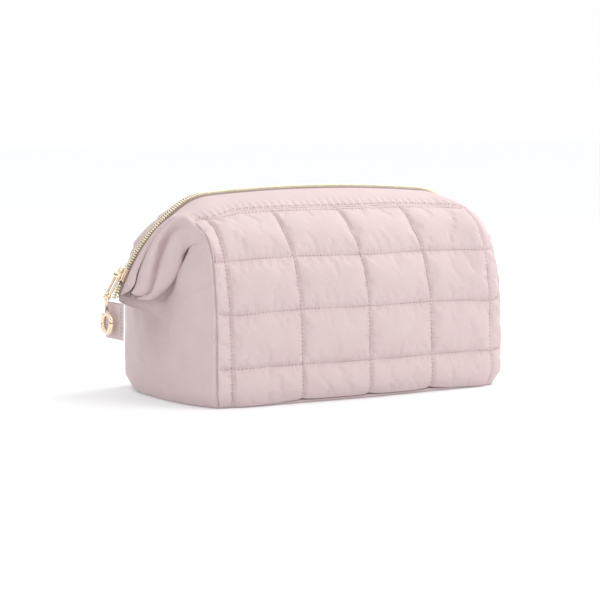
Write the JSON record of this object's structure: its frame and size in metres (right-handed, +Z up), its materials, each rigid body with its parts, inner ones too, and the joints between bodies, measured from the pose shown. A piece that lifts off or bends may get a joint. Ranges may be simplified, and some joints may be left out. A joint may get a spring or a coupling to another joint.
{
  "type": "makeup bag",
  "caption": "Padded, quilted soft makeup bag with a wire-framed doctor-bag mouth, an arched metal zipper, folded end gussets, fabric end tabs and a ring-shaped zipper pull.",
  "frame": {"origin": "middle of the flat underside of the base", "axes": "+X along the bag from the slider end to the far end, -Y towards the front panel, +Z up"},
  "size_m": [0.3195, 0.15, 0.1398],
  "materials": {
    "shell_fabric": "fine woven, soft sheen",
    "lining": "smooth woven",
    "zipper_tape": "woven tape",
    "spring_steel": "satin",
    "zipper_teeth": "pale satin gold",
    "puller_metal": "polished pale gold"
  },
  "bodies": {
    "tub": {"base_panel": "shell_fabric", "base_lining": "lining", "wall_lining": "lining", "front_panel_lower": "shell_fabric", "back_panel_lower": "shell_fabric", "left_end_panel": "shell_fabric", "right_end_panel": "shell_fabric", "left_tab": "shell_fabric", "left_chain_end": "zipper_teeth", "right_chain_stop": "zipper_teeth"},
    "front_frame": {"front_panel_upper": "shell_fabric", "front_lining_upper": "lining", "front_wire_channel": "shell_fabric", "front_zipper_tape": "zipper_tape", "front_frame_wire": "spring_steel", "front_teeth": "zipper_teeth", "front_left_gusset": "shell_fabric", "front_right_gusset": "shell_fabric"},
    "back_frame": {"back_panel_upper": "shell_fabric", "back_lining_upper": "lining", "back_wire_channel": "shell_fabric", "back_zipper_tape": "zipper_tape", "back_frame_wire": "spring_steel", "back_teeth": "zipper_teeth", "back_left_gusset": "shell_fabric", "back_right_gusset": "shell_fabric"},
    "slider": {"slider_body": "puller_metal", "slider_bridge": "puller_metal"},
    "link": {"pull_link": "puller_metal"},
    "puller": {"pull_ring": "puller_metal"}
  },
  "joints": [
    {"name": "front_swing", "type": "hinge", "parent": "tub", "child": "front_frame", "pos_m": [0, 0, 0.07], "axis": [1, 0, 0], "range_deg": [0, 35]},
    {"name": "back_swing", "type": "hinge", "parent": "tub", "child": "back_frame", "pos_m": [0, 0, 0.07], "axis": [-1, 0, 0], "range_deg": [0, 35]},
    {"name": "slider_travel", "type": "hinge", "parent": "tub", "child": "slider", "pos_m": [-0.0377, 0, 0.0238], "axis": [0, -1, 0], "range_deg": [-3.5, 0]},
    {"name": "link_swing", "type": "hinge", "parent": "slider", "child": "link", "pos_m": [-0.15134, 0, 0.08474], "axis": [0, 1, 0], "range_deg": [0, 110]},
    {"name": "ring_swing", "type": "hinge", "parent": "link", "child": "puller", "pos_m": [-0.1603, 0, 0.0695], "axis": [0, 1, 0], "range_deg": [0, 100]}
  ]
}
